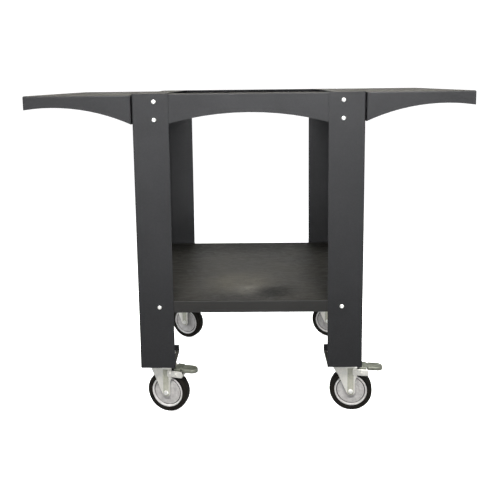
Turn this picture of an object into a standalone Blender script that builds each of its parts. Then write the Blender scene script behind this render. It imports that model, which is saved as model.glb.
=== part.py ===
"""Wheeled sheet-steel stand for a wood fired pizza oven.

Four folded legs carry an open top frame, a lower shelf and two fixed side
shelves with arched walls, and stand on swivel castors. The front pair of
castors has pedal brakes.

Metres, +Z up, +X to the right and +Y to the back, as seen from the front.
The origin is on the floor, under the middle of the stand.
"""
import math

import bmesh
import bpy
from mathutils import Matrix, Vector

# Stand
WIDTH = 0.640                   # across the outer faces of the legs
DEPTH = 0.650                   # front face to rear face of the legs
HEIGHT = 0.940
SHEET = 0.002                   # thickness of every folded panel
BEND = 0.003                    # radius of a fold, on the sheet's middle
GAP = 0.0003                    # between neighbours that touch
SEAM = 0.0004                   # step between joined plates, so no two faces coincide
LEG_FLANGE = 0.100
LEG_BOTTOM = 0.150

# Top frame
APRON_DROP = 0.084              # height of the apron's wall behind the legs
APRON_MIDDLE_DROP = 0.053       # height of its wall at the top of the arch
APRON_LEG_DROP = 0.082          # height of its wall at the leg's inner edge
APRON_FLANGE = 0.028
OPENING_HALF_WIDTH = 0.236      # the side rails' flanges reach in to here

# Lower shelf
SHELF_TOP = 0.3515
SHELF_LIP = 0.0355

# Side shelves
WING_REACH = 0.6205             # from the middle of the stand to the outer end
WING_DROP = 0.095               # depth of its walls before the arch is cut
WING_ARCH_DROP = 0.033          # height of the wall at the top of the arch
WING_ARCH_INSET = 0.078         # from the outer end to the top of the arch
WING_ARCH_RADIUS = 0.5254
WING_GAP = 0.0035               # between the leg and the shelf's inner wall
SPACER_RADIUS = 0.009           # round spacers that bridge that gap at the bolts
SPACER_INSET = 0.050            # from the front and rear of the stand
SPACER_LEVELS = (0.916, 0.882)
LEFT_WING_SAG = 0.003           # the left one is bolted on this much lower

# Bolts through the leg's front flange
BOLT_INSET = 0.060              # from the leg's outer edge
BOLT_LEVELS = {"top": HEIGHT - 0.022, "middle": HEIGHT - 0.072, "shelf": SHELF_TOP - 0.019}
BOLT_RADIUS = 0.003
BOLT_HEAD_RADIUS = 0.006
BOLT_HEAD_HEIGHT = 0.0035
BOLT_LENGTH = 0.012

# Plate that closes the foot of a leg
FOOT_SHEET = 0.003
FOOT_UPSTAND = 0.0185

# Castors, in their own frame: the swivel axis is z and the wheel trails to +x
CASTOR_INSET = 0.050            # swivel axis from the leg's outer faces
CASTOR_HEIGHT = 0.155
CASTOR_PLATE = 0.090
CASTOR_PLATE_SHEET = 0.003
CASTOR_PLATE_CORNER = 0.008
TRAIL = 0.025
WHEEL_RADIUS = 0.0625
RIM_RADIUS = 0.0477             # outside of the wheel centre, inside the tyre
WHEEL_HALF_WIDTH = 0.0158
WHEEL_STEPS = 24
WHEEL_HUB_RADIUS = 0.010
WHEEL_DISC = ((0.013, 0.0125), (0.0418, 0.0118), (0.0433, 0.0142))  # radius, half thickness
WHEEL_RIM_HALF_WIDTH = 0.0142
AXLE_RADIUS = 0.004
AXLE_HEAD_RADIUS = 0.0065
AXLE_HEAD_HEIGHT = 0.0055
KINGPIN_RADIUS = 0.006
KINGPIN_HEAD_RADIUS = 0.011
KINGPIN_RIM_HEIGHT = 0.003
KINGPIN_HEAD_HEIGHT = 0.005
CUP_RADIUS = 0.030
CUP_SHOULDER = 0.002            # chamfer of the cup's top edge
CUP_WALL = 0.0025
BALL_CIRCLE_RADIUS = 0.0205
BALL_RADIUS = 0.0022
FORK_SHEET = 0.003
FORK_INNER = 0.0185             # from the wheel's middle to the fork's leg
FORK_TOP = 0.1426
FORK_BACK = -0.027              # fork's edge ahead of the swivel axis
FORK_BACK_TAPER = ((-0.027, 0.1275), (-0.0126, 0.1124))  # x and z where that edge runs in
FORK_FRONT = 0.043              # fork's edge on the trailing side
FORK_FRONT_BOTTOM = 0.108
FORK_NECK_TOP = 0.096           # the narrow end of the leg starts here
FORK_END_RADIUS = 0.0125
FORK_END_START = 206            # degrees, where the leg's rounded end leaves its edge
FORK_CROWN_RADIUS = 0.029

# Brake of the front castors
BRACKET_SHEET = 0.0025
BRACKET_START = 0.030
BRACKET_END = 0.077
BRACKET_BOTTOM = 0.114
BRACKET_TOP = 0.1335
BRACKET_CORNER = 0.004
WEB_TOP = 0.1225                # the web stays below the tread in every position
PIVOT = (0.0565, 0.1225)        # pedal's pin, as x and z
PIVOT_RADIUS = 0.003
PIN_START = 0.0172              # each stub pin starts beside the tyre
PIN_HEAD = 0.0015               # and ends this far outside the cheek
PEDAL_SHEET = 0.0025
PEDAL_TOP = 0.1395
PEDAL_ARM_OUTER = 0.0205        # outside of its arms, from the wheel's middle
PEDAL_ARM_FRONT = 0.0695
PEDAL_EYE_RADIUS = 0.0065       # of the arm's end around the pin
PEDAL_TIP = 0.117
TREAD_HALF_WIDTH = 0.017
TREAD_START = 0.074
TREAD_RIM = 0.011
TREAD_RIM_WALL = 0.002
TOE_BOTTOM = 0.1150             # the arms end no lower than this in front of the pin

# name, side of the stand, front or rear, turn about the swivel axis, has a brake
CASTORS = (
    ("front_left", -1, -1, 15.5, True),
    ("front_right", 1, -1, 8.0, True),
    ("rear_left", -1, 1, 27.0, False),
    ("rear_right", 1, 1, 20.0, False),
)

AXES = "XYZ"
FAR = 1.0                       # cutters reach this far where they run right through
MERGE = 0.00001                 # points closer than this are one point
ARCH_STEPS = 128


# Scene, materials and placing

def empty_scene():
    for obj in list(bpy.data.objects):
        bpy.data.objects.remove(obj)


def new_collection(name):
    collection = bpy.data.collections.new(name)
    bpy.context.scene.collection.children.link(collection)
    return collection


def new_material(name, colour, roughness, metallic):
    mat = bpy.data.materials.new(name)
    mat.use_nodes = True
    shader = mat.node_tree.nodes["Principled BSDF"]
    shader.inputs["Base Color"].default_value = (*colour, 1.0)
    shader.inputs["Roughness"].default_value = roughness
    shader.inputs["Metallic"].default_value = metallic
    return mat


def add_part(name, mesh, mat, parent=None):
    """A named part made of a mesh, in its parent's frame."""
    if not mesh.materials:
        mesh.materials.append(mat)
    obj = bpy.data.objects.new(name, mesh)
    parts.objects.link(obj)
    obj.parent = parent
    return obj


def add_cutter(name, mesh):
    cutter = bpy.data.objects.new(name, mesh)
    cutters.objects.link(cutter)
    cutter.hide_render = True
    cutter.display_type = "WIRE"
    return cutter


def add_empty(name, location, parent=None, rotation=(0.0, 0.0, 0.0)):
    empty = bpy.data.objects.new(name, None)
    parts.objects.link(empty)
    empty.parent = parent
    empty.location = location
    empty.rotation_euler = rotation
    return empty


def cut(obj, cutter, operation="DIFFERENCE"):
    modifier = obj.modifiers.new(cutter.name, "BOOLEAN")
    modifier.operation = operation
    modifier.object = cutter


# Shapes

def mesh_from(bm, name):
    mesh = bpy.data.meshes.new(name)
    bm.to_mesh(mesh)
    bm.free()
    return mesh


def box_mesh(low, high):
    bm = bmesh.new()
    bmesh.ops.create_cube(bm, size=1.0)
    size = [b - a for a, b in zip(low, high)]
    centre = [(a + b) / 2 for a, b in zip(low, high)]
    matrix = Matrix.Translation(centre) @ Matrix.Diagonal((*size, 1.0))
    bmesh.ops.transform(bm, matrix=matrix, verts=bm.verts)
    return mesh_from(bm, "box")


def rod_mesh(centre, axis, radius, length, segments=12):
    """A cylinder along one of the axes."""
    across = {"X": "Y", "Y": "X"}
    turn = Matrix.Rotation(math.pi / 2, 4, across[axis]) if axis in across else Matrix.Identity(4)
    bm = bmesh.new()
    bmesh.ops.create_cone(
        bm, cap_ends=True, segments=segments, radius1=radius, radius2=radius, depth=length,
        matrix=Matrix.Translation(centre) @ turn,
    )
    return mesh_from(bm, "rod")


def evaluated_mesh(obj):
    """The object's mesh after its modifiers; the object itself is removed."""
    bpy.context.view_layer.update()
    graph = bpy.context.evaluated_depsgraph_get()
    mesh = bpy.data.meshes.new_from_object(obj.evaluated_get(graph))
    bpy.data.objects.remove(obj)
    return mesh


def scratch_object(data):
    obj = bpy.data.objects.new("scratch", data)
    cutters.objects.link(obj)
    return obj


def combined(mesh, tool, operation):
    """One mesh joined with another, or cut by it."""
    base = scratch_object(mesh)
    other = scratch_object(tool)
    modifier = base.modifiers.new("combine", "BOOLEAN")
    modifier.operation = operation
    modifier.object = other
    result = evaluated_mesh(base)
    bpy.data.objects.remove(other)
    return result


def joined(first, *others):
    mesh = first
    for other in others:
        mesh = combined(mesh, other, "UNION")
    return mesh


def drilled(mesh, *tools):
    for tool in tools:
        mesh = combined(mesh, tool, "DIFFERENCE")
    return mesh


def turned_mesh(profile, steps, closed=False):
    """A profile of (radius, z) points turned about Z, down its outer side."""
    bm = bmesh.new()
    verts = [bm.verts.new((radius, 0.0, z)) for radius, z in profile]
    pairs = list(zip(verts, verts[1:]))
    if closed:
        pairs.append((verts[-1], verts[0]))
    for pair in pairs:
        bm.edges.new(pair)
    obj = scratch_object(mesh_from(bm, "profile"))
    screw = obj.modifiers.new("turn", "SCREW")
    screw.steps = steps
    screw.render_steps = steps
    screw.use_merge_vertices = True
    screw.merge_threshold = MERGE
    mesh = evaluated_mesh(obj)
    mesh.shade_smooth()
    mesh.set_sharp_from_angle(angle=math.radians(35))
    return mesh


def plate_mesh(outline, thickness, matrix):
    """A flat plate from its outline in XY, its middle at z 0, then moved."""
    curve = bpy.data.curves.new("outline", "CURVE")
    curve.dimensions = "2D"
    curve.fill_mode = "BOTH"
    curve.extrude = thickness / 2
    spline = curve.splines.new("POLY")
    spline.points.add(len(outline) - 1)
    for point, (x, y) in zip(spline.points, outline):
        point.co = (x, y, 0.0, 1.0)
    spline.use_cyclic_u = True
    mesh = evaluated_mesh(scratch_object(curve))
    bm = bmesh.new()
    bm.from_mesh(mesh)
    bmesh.ops.remove_doubles(bm, verts=bm.verts, dist=MERGE)
    bmesh.ops.recalc_face_normals(bm, faces=bm.faces)
    bmesh.ops.transform(bm, matrix=matrix, verts=bm.verts)
    return mesh_from(bm, "plate")


def upright(offset):
    """Stands an XY outline up in XZ, with its middle at y = offset."""
    return Matrix.Translation((0.0, offset, 0.0)) @ Matrix.Rotation(math.pi / 2, 4, "X")


def arc(centre, radius, start, end, steps):
    """Points from the start angle to the end angle, in degrees."""
    angles = [math.radians(start + (end - start) * i / steps) for i in range(steps + 1)]
    return [
        (centre[0] + radius * math.cos(angle), centre[1] + radius * math.sin(angle))
        for angle in angles
    ]


def rounded_rectangle(low, high, radius, steps=3):
    inner_low = [value + radius for value in low]
    inner_high = [value - radius for value in high]
    points = arc((inner_high[0], inner_high[1]), radius, 0, 90, steps)
    points += arc((inner_low[0], inner_high[1]), radius, 90, 180, steps)
    points += arc((inner_low[0], inner_low[1]), radius, 180, 270, steps)
    points += arc((inner_high[0], inner_low[1]), radius, 270, 360, steps)
    return points


def rounded_line(corners, radius, steps=3):
    """An open line whose square corners become arcs."""
    points = [Vector(corners[0])]
    for before, corner, after in zip(corners, corners[1:], corners[2:]):
        corner = Vector(corner)
        back = (Vector(before) - corner).normalized()
        ahead = (Vector(after) - corner).normalized()
        centre = corner + radius * (back + ahead)
        for i in range(steps + 1):
            angle = math.pi / 2 * i / steps
            points.append(centre - radius * (ahead * math.cos(angle) + back * math.sin(angle)))
    points.append(Vector(corners[-1]))
    return points


def solidify(obj, thickness):
    modifier = obj.modifiers.new("thickness", "SOLIDIFY")
    modifier.thickness = thickness
    modifier.offset = 0.0
    modifier.use_even_offset = True


def folded_sheet(name, line, plane, low, high, thickness=SHEET):
    """A sheet folded to a line in the XY, YZ or XZ plane, from low to high across it."""
    first, second = (AXES.index(letter) for letter in plane)
    across = 3 - first - second
    bm = bmesh.new()
    verts = []
    for u, v in line:
        point = [0.0, 0.0, 0.0]
        point[first], point[second], point[across] = u, v, low
        verts.append(bm.verts.new(point))
    edges = [bm.edges.new(pair) for pair in zip(verts, verts[1:])]
    swept = bmesh.ops.extrude_edge_only(bm, edges=edges)
    step = [0.0, 0.0, 0.0]
    step[across] = high - low
    moved = [item for item in swept["geom"] if isinstance(item, bmesh.types.BMVert)]
    bmesh.ops.translate(bm, verts=moved, vec=step)
    obj = add_part(name, mesh_from(bm, name), powder_coat)
    solidify(obj, thickness)
    return obj


def folded_tray(name, low, high):
    """An upside-down tray of sheet between two corners, open below."""
    half = SHEET / 2
    mesh = box_mesh([v + half for v in low], [v - half for v in high])
    bm = bmesh.new()
    bm.from_mesh(mesh)
    below = [face for face in bm.faces if face.normal.z < -0.5]
    bmesh.ops.delete(bm, geom=below, context="FACES")
    folds = [edge for edge in bm.edges if not edge.is_boundary]
    bmesh.ops.bevel(bm, geom=folds, offset=BEND, segments=2, profile=0.5, affect="EDGES")
    obj = add_part(name, mesh_from(bm, name), powder_coat)
    solidify(obj, SHEET)
    return obj


def arch_cutter(name, crown_x, crown_z, radius):
    """A long cylinder along Y whose top line is the crown of an arch."""
    mesh = rod_mesh((crown_x, 0.0, crown_z - radius), "Y", radius, FAR, ARCH_STEPS)
    return add_cutter(name, mesh)


def box_cutter(name, first, second):
    low = [min(pair) for pair in zip(first, second)]
    high = [max(pair) for pair in zip(first, second)]
    return add_cutter(name, box_mesh(low, high))


# The stand

def build_leg(name, side, end):
    """An angle section; side is -1 or 1 for left or right, end for front or rear."""
    half = SHEET / 2
    outer_x = side * (WIDTH / 2 - half)
    outer_y = end * (DEPTH / 2 - half)
    corners = [
        (side * (WIDTH / 2 - LEG_FLANGE), outer_y),
        (outer_x, outer_y),
        (outer_x, end * (DEPTH / 2 - LEG_FLANGE)),
    ]
    return folded_sheet("leg_" + name, rounded_line(corners, BEND), "XY", LEG_BOTTOM, HEIGHT)


def build_foot_plate(name, side, end):
    """A shallow channel across the foot of the leg, for the castor's plate."""
    half = FOOT_SHEET / 2
    wall_inside = DEPTH / 2 - SHEET - GAP
    floor = CASTOR_HEIGHT + GAP + half
    top = CASTOR_HEIGHT + GAP + FOOT_SHEET + FOOT_UPSTAND
    outer_y = end * (wall_inside - half)
    inner_y = end * (DEPTH / 2 - LEG_FLANGE + half)
    corners = [(outer_y, top), (outer_y, floor), (inner_y, floor), (inner_y, top)]
    reach = sorted((side * (WIDTH / 2 - SHEET - BEND), side * (WIDTH / 2 - LEG_FLANGE)))
    return folded_sheet("foot_plate_" + name, rounded_line(corners, BEND), "YZ", *reach, FOOT_SHEET)


def build_apron(name, end, cutter):
    """A front or rear wall of the top frame, arched below and folded in at the top."""
    half = SHEET / 2
    outside = DEPTH / 2 - SHEET - GAP
    wall_y = end * (outside - half)
    corners = [
        (wall_y, HEIGHT - APRON_DROP),
        (wall_y, HEIGHT - half),
        (end * (outside - APRON_FLANGE), HEIGHT - half),
    ]
    reach = WIDTH / 2 - SHEET - BEND
    apron = folded_sheet(name + "_apron", rounded_line(corners, BEND), "YZ", -reach, reach)
    cut(apron, cutter)
    for side in (-1, 1):
        notch = box_cutter(
            name + "_notch",
            (side * (OPENING_HALF_WIDTH - GAP), end * (outside - SHEET), HEIGHT - 4 * BEND),
            (side * WIDTH / 2, end * (outside - 2 * APRON_FLANGE), HEIGHT + BEND),
        )
        cut(apron, notch)
    return apron


def build_side_rail(name, side):
    """A side wall of the top frame, with the wide flange that the oven stands on."""
    half = SHEET / 2
    wall_x = side * (WIDTH / 2 - SHEET - GAP - half)
    corners = [
        (wall_x, HEIGHT - APRON_DROP),
        (wall_x, HEIGHT - half),
        (side * OPENING_HALF_WIDTH, HEIGHT - half),
    ]
    reach = DEPTH / 2 - 2 * (SHEET + GAP)
    return folded_sheet("side_rail_" + name, rounded_line(corners, BEND), "XZ", -reach, reach)


def build_lower_shelf():
    reach_x = WIDTH / 2 - SHEET - GAP
    reach_y = DEPTH / 2 - SHEET - GAP
    shelf = folded_tray(
        "lower_shelf",
        (-reach_x, -reach_y, SHELF_TOP - SHELF_LIP - SHEET / 2),
        (reach_x, reach_y, SHELF_TOP),
    )
    return shelf


def build_side_shelf(name, side, top):
    """A tray beside the frame, its front and rear walls cut to an arch, with its spacers."""
    inner = WIDTH / 2 + WING_GAP
    low_x, high_x = sorted((side * inner, side * WING_REACH))
    shelf = folded_tray(
        "side_shelf_" + name, (low_x, -DEPTH / 2, top - WING_DROP), (high_x, DEPTH / 2, top)
    )
    crown_x = side * (WING_REACH - WING_ARCH_INSET)
    arch = arch_cutter("side_arch_" + name, crown_x, top - WING_ARCH_DROP, WING_ARCH_RADIUS)
    cut(shelf, arch)
    length = WING_GAP - GAP + SHEET / 2
    middle = side * (WIDTH / 2 + GAP + length / 2)
    for end in (-1, 1):
        for level in SPACER_LEVELS:
            centre = (middle, end * (DEPTH / 2 - SPACER_INSET), level)
            spacer = rod_mesh(centre, "X", SPACER_RADIUS, length)
            cut(shelf, add_cutter("side_spacer_" + name, spacer), "UNION")
    return shelf


def build_bolts(name, side, end, sheets):
    """The bolts of one leg, with their holes through the leg and what is behind it."""
    face = DEPTH / 2 + GAP
    head = face + BOLT_HEAD_HEIGHT
    dome = BOLT_HEAD_HEIGHT * 0.45
    profile = [
        (0.0, head),
        (BOLT_HEAD_RADIUS * 0.6, head - dome * 0.2),
        (BOLT_HEAD_RADIUS, head - dome),
        (BOLT_HEAD_RADIUS, face),
        (BOLT_RADIUS, face),
        (BOLT_RADIUS, face - BOLT_LENGTH),
        (0.0, face - BOLT_LENGTH),
    ]
    mesh = turned_mesh(profile, 12)
    tilt = math.pi / 2 if end < 0 else -math.pi / 2
    x = side * (WIDTH / 2 - BOLT_INSET)
    for level, z in BOLT_LEVELS.items():
        bolt = add_part("bolt_" + name + "_" + level, mesh, zinc)
        bolt.location = (x, 0.0, z)
        bolt.rotation_euler = (tilt, 0.0, 0.0)
        centre = (x, end * DEPTH / 2, z)
        hole = add_cutter("hole", rod_mesh(centre, "Y", BOLT_RADIUS + GAP, 4 * BOLT_LENGTH))
        cut(sheets["leg"], hole)
        cut(sheets["shelf" if level == "shelf" else "apron"], hole)


def build_stand():
    apron_half_gap = WIDTH / 2 - LEG_FLANGE
    rise = APRON_LEG_DROP - APRON_MIDDLE_DROP
    apron_radius = (apron_half_gap ** 2 + rise ** 2) / (2 * rise)
    apron_arch = arch_cutter("apron_arch", 0.0, HEIGHT - APRON_MIDDLE_DROP, apron_radius)
    aprons = {
        -1: build_apron("front", -1, apron_arch),
        1: build_apron("rear", 1, apron_arch),
    }
    build_side_rail("left", -1)
    build_side_rail("right", 1)
    build_side_shelf("left", -1, HEIGHT - LEFT_WING_SAG)
    build_side_shelf("right", 1, HEIGHT)
    lower_shelf = build_lower_shelf()
    for name, side, end, _angle, _braked in CASTORS:
        leg = build_leg(name, side, end)
        build_foot_plate(name, side, end)
        build_bolts(name, side, end, {"leg": leg, "apron": aprons[end], "shelf": lower_shelf})


# Castors

def castor_plate_mesh():
    """The top plate and, pressed into one with it, the cup over the ball race."""
    half = CASTOR_PLATE / 2
    outline = rounded_rectangle((-half, -half), (half, half), CASTOR_PLATE_CORNER)
    middle = CASTOR_HEIGHT - CASTOR_PLATE_SHEET / 2
    plate = plate_mesh(outline, CASTOR_PLATE_SHEET, Matrix.Translation((0.0, 0.0, middle)))
    race = FORK_TOP + 2 * GAP + 2 * BALL_RADIUS
    inside_plate = middle + SEAM
    shoulder = CASTOR_HEIGHT - CASTOR_PLATE_SHEET - CUP_SHOULDER
    lip = FORK_TOP + 3 * GAP
    cup = turned_mesh(
        [
            (0.0, inside_plate),
            (CUP_RADIUS - CUP_SHOULDER, inside_plate),
            (CUP_RADIUS, shoulder),
            (CUP_RADIUS, lip),
            (CUP_RADIUS - CUP_WALL, lip),
            (CUP_RADIUS - CUP_WALL, race),
            (0.0, race),
        ],
        24,
    )
    hole = rod_mesh((0.0, 0.0, CASTOR_HEIGHT), "Z", KINGPIN_RADIUS + GAP, CASTOR_HEIGHT / 2)
    return drilled(joined(plate, cup), hole)


def kingpin_mesh():
    """A rivet: its shank is set in the plate and its head holds the fork up."""
    head_top = FORK_TOP - FORK_SHEET - GAP
    profile = [
        (0.0, CASTOR_HEIGHT - GAP),
        (KINGPIN_RADIUS, CASTOR_HEIGHT - GAP),
        (KINGPIN_RADIUS, head_top),
        (KINGPIN_HEAD_RADIUS, head_top),
        (KINGPIN_HEAD_RADIUS * 0.9, head_top - KINGPIN_RIM_HEIGHT),
        (0.0, head_top - KINGPIN_HEAD_HEIGHT),
    ]
    return turned_mesh(profile, 12)


def ball_ring_mesh():
    """The balls of the swivel race, as one ring."""
    bpy.ops.mesh.primitive_torus_add(
        major_radius=BALL_CIRCLE_RADIUS, minor_radius=BALL_RADIUS,
        major_segments=16, minor_segments=5,
    )
    ring = bpy.context.object
    mesh = ring.data
    bpy.data.objects.remove(ring)
    mesh.shade_smooth()
    return mesh


def fork_mesh():
    """Two tapering legs under a round crown, all of pressed sheet."""
    axle = (TRAIL, WHEEL_RADIUS)
    outer = FORK_INNER + FORK_SHEET
    leg_top = FORK_TOP - SEAM
    outline = [(FORK_BACK, leg_top), *FORK_BACK_TAPER]
    outline += arc(axle, FORK_END_RADIUS, FORK_END_START, 360, 8)
    outline += [
        (TRAIL + FORK_END_RADIUS, FORK_NECK_TOP),
        (FORK_FRONT, FORK_FRONT_BOTTOM),
        (FORK_FRONT, leg_top),
    ]
    leg_middle = outer - FORK_SHEET / 2
    legs = [plate_mesh(outline, FORK_SHEET, upright(side * leg_middle)) for side in (-1, 1)]
    half_width = outer - SEAM
    corner = math.degrees(math.asin(half_width / FORK_CROWN_RADIUS))
    crown_outline = arc((0.0, 0.0), FORK_CROWN_RADIUS, corner, 360 - corner, 20)
    crown_outline += [(FORK_FRONT - SEAM, -half_width), (FORK_FRONT - SEAM, half_width)]
    crown_middle = Matrix.Translation((0.0, 0.0, FORK_TOP - FORK_SHEET / 2))
    crown = plate_mesh(crown_outline, FORK_SHEET, crown_middle)
    pin_hole = rod_mesh((0.0, 0.0, FORK_TOP), "Z", KINGPIN_RADIUS + GAP, 4 * FORK_SHEET)
    axle_hole = rod_mesh((TRAIL, 0.0, WHEEL_RADIUS), "Y", AXLE_RADIUS + GAP, FAR)
    return drilled(joined(crown, *legs), pin_hole, axle_hole)


def axle_mesh():
    """The axle bolt: its head and its nut are outside the fork's legs."""
    face = FORK_INNER + FORK_SHEET + GAP
    end = face + AXLE_HEAD_HEIGHT
    half = [
        (AXLE_HEAD_RADIUS * 0.85, end),
        (AXLE_HEAD_RADIUS, end - AXLE_HEAD_HEIGHT * 0.2),
        (AXLE_HEAD_RADIUS, face),
        (AXLE_RADIUS, face),
    ]
    other = [(radius, -z) for radius, z in reversed(half)]
    return turned_mesh([(0.0, end), *half, *other, (0.0, -end)], 12)


def wheel_centre_mesh():
    """A turned disc with a raised rim and a hub, bored for the axle."""
    hub = FORK_INNER - 2 * GAP
    half = [
        (AXLE_RADIUS + GAP, hub),
        (WHEEL_HUB_RADIUS, hub),
        *WHEEL_DISC,
        (RIM_RADIUS - GAP, WHEEL_RIM_HALF_WIDTH),
    ]
    other = [(radius, -z) for radius, z in reversed(half)]
    return turned_mesh([*half, *other], WHEEL_STEPS, closed=True)


def tyre_mesh():
    width = WHEEL_HALF_WIDTH
    half = [
        (RIM_RADIUS, width - 0.0020),
        (RIM_RADIUS + 0.0045, width),
        (WHEEL_RADIUS - 0.0040, width - 0.0004),
        (WHEEL_RADIUS - 0.0011, width - 0.0030),
        (WHEEL_RADIUS, width - 0.0075),
    ]
    other = [(radius, -z) for radius, z in reversed(half)]
    return turned_mesh([*half, *other], WHEEL_STEPS, closed=True)


def brake_bracket_mesh():
    """Two cheeks outside the fork, a web behind the tyre and the pedal's stub pins."""
    inside = FORK_INNER + FORK_SHEET + GAP
    outline = rounded_rectangle(
        (BRACKET_START, BRACKET_BOTTOM), (BRACKET_END, BRACKET_TOP), BRACKET_CORNER
    )
    middle = inside + BRACKET_SHEET / 2
    cheeks = [plate_mesh(outline, BRACKET_SHEET, upright(side * middle)) for side in (-1, 1)]
    outside = inside + BRACKET_SHEET
    web = box_mesh(
        (BRACKET_END - BRACKET_SHEET, -middle, BRACKET_BOTTOM + BRACKET_CORNER),
        (BRACKET_END, middle, WEB_TOP),
    )
    pin_length = outside + PIN_HEAD - PIN_START
    pins = [
        rod_mesh(
            (PIVOT[0], side * (PIN_START + pin_length / 2), PIVOT[1]),
            "Y", PIVOT_RADIUS, pin_length,
        )
        for side in (-1, 1)
    ]
    return joined(web, *cheeks, *pins)


def brake_pedal_mesh():
    """A tread with a turned-down rim, two arms on the pin and the toe that meets the tyre."""
    tip = PEDAL_TIP - TREAD_HALF_WIDTH

    def tread_outline(inset):
        half = TREAD_HALF_WIDTH - inset
        return [(TREAD_START + inset, -half), *arc((tip, 0.0), half, -90, 90, 8),
                (TREAD_START + inset, half)]

    rim_middle = Matrix.Translation((0.0, 0.0, PEDAL_TOP - TREAD_RIM / 2))
    tread = plate_mesh(tread_outline(0.0), TREAD_RIM, rim_middle)
    pocket_middle = Matrix.Translation((0.0, 0.0, PEDAL_TOP - PEDAL_SHEET - TREAD_RIM / 2))
    pocket = plate_mesh(tread_outline(TREAD_RIM_WALL), TREAD_RIM, pocket_middle)
    neck = box_mesh(
        (PIVOT[0] - PEDAL_EYE_RADIUS, -PEDAL_ARM_OUTER, PEDAL_TOP - PEDAL_SHEET),
        (TREAD_START + SEAM, PEDAL_ARM_OUTER, PEDAL_TOP),
    )
    arm_middle = PEDAL_ARM_OUTER - PEDAL_SHEET / 2
    arm_top = PEDAL_TOP - PEDAL_SHEET / 2
    arm_outline = [
        (PEDAL_ARM_FRONT, arm_top),
        (PIVOT[0] - PEDAL_EYE_RADIUS + SEAM, arm_top),
        *arc(PIVOT, PEDAL_EYE_RADIUS, 180, 300, 5),
        (PEDAL_ARM_FRONT - 2 * PEDAL_SHEET, TOE_BOTTOM + SEAM),
        (PEDAL_ARM_FRONT, TOE_BOTTOM + SEAM),
    ]
    arms = [plate_mesh(arm_outline, PEDAL_SHEET, upright(side * arm_middle)) for side in (-1, 1)]
    toe = box_mesh(
        (PEDAL_ARM_FRONT - PEDAL_SHEET, -arm_middle, TOE_BOTTOM),
        (PEDAL_ARM_FRONT - SEAM, arm_middle, arm_top - SEAM),
    )
    pin_hole = rod_mesh((PIVOT[0], 0.0, PIVOT[1]), "Y", PIVOT_RADIUS + GAP, FAR)
    body = joined(drilled(tread, pocket), neck, *arms, toe)
    return drilled(body, pin_hole)


def moved(mesh, offset):
    """The mesh with its origin at the offset point."""
    mesh.transform(Matrix.Translation([-value for value in offset]))
    return mesh


def build_castors():
    pivot = (PIVOT[0], 0.0, PIVOT[1])
    plate = castor_plate_mesh()
    kingpin = kingpin_mesh()
    balls = ball_ring_mesh()
    fork = fork_mesh()
    axle = axle_mesh()
    centre = wheel_centre_mesh()
    tyre = tyre_mesh()
    bracket = brake_bracket_mesh()
    pedal = moved(brake_pedal_mesh(), pivot)
    ball_height = FORK_TOP + GAP + BALL_RADIUS
    for name, side, end, angle, braked in CASTORS:
        prefix = "castor_" + name
        spot = (side * (WIDTH / 2 - CASTOR_INSET), end * (DEPTH / 2 - CASTOR_INSET), 0.0)
        add_part(prefix + "_plate", plate, zinc).location = spot
        add_part(prefix + "_kingpin", kingpin, zinc).location = spot
        turn = (0.0, 0.0, -math.radians(angle))
        swivel = add_empty(prefix + "_swivel_axis", spot, rotation=turn)
        add_part(prefix + "_ball_ring", balls, zinc, swivel).location.z = ball_height
        add_part(prefix + "_fork", fork, zinc, swivel)
        lying = (-math.pi / 2, 0.0, 0.0)
        wheel = add_empty(prefix + "_wheel_axis", (TRAIL, 0.0, WHEEL_RADIUS), swivel, lying)
        add_part(prefix + "_axle", axle, zinc, wheel)
        add_part(prefix + "_wheel_centre", centre, grey_plastic, wheel)
        add_part(prefix + "_tyre", tyre, black_rubber, wheel)
        if braked:
            add_part(prefix + "_brake_bracket", bracket, zinc, swivel)
            hinge = add_empty(prefix + "_pedal_axis", pivot, swivel)
            add_part(prefix + "_brake_pedal", pedal, pedal_steel, hinge)


empty_scene()
parts = new_collection("pizza_oven_stand")
cutters = new_collection("cutters")
powder_coat = new_material("powder_coat", (0.075, 0.075, 0.078), 0.55, 0.0)
zinc = new_material("zinc", (0.62, 0.60, 0.56), 0.38, 1.0)
pedal_steel = new_material("pedal_steel", (0.30, 0.31, 0.27), 0.5, 1.0)
grey_plastic = new_material("grey_plastic", (0.52, 0.51, 0.52), 0.5, 0.0)
black_rubber = new_material("black_rubber", (0.018, 0.016, 0.015), 0.7, 0.0)
build_stand()
build_castors()
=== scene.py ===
import math

import bmesh
import bpy
from mathutils import Matrix, Vector


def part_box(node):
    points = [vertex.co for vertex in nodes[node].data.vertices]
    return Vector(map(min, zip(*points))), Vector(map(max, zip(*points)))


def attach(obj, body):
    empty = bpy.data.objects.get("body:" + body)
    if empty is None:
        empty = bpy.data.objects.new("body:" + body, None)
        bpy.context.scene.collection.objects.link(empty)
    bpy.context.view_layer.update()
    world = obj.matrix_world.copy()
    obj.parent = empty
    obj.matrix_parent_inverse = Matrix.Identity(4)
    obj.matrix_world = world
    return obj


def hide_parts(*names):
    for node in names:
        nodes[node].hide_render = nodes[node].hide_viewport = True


# The looks of a wheeled sheet-steel stand for a pizza oven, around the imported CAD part.
# Metres, +Z up, +Y to the back. The folded sheets are the CAD's own; the castors and the
# fixings are built again here with their pressed, turned and rounded detail.

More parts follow.
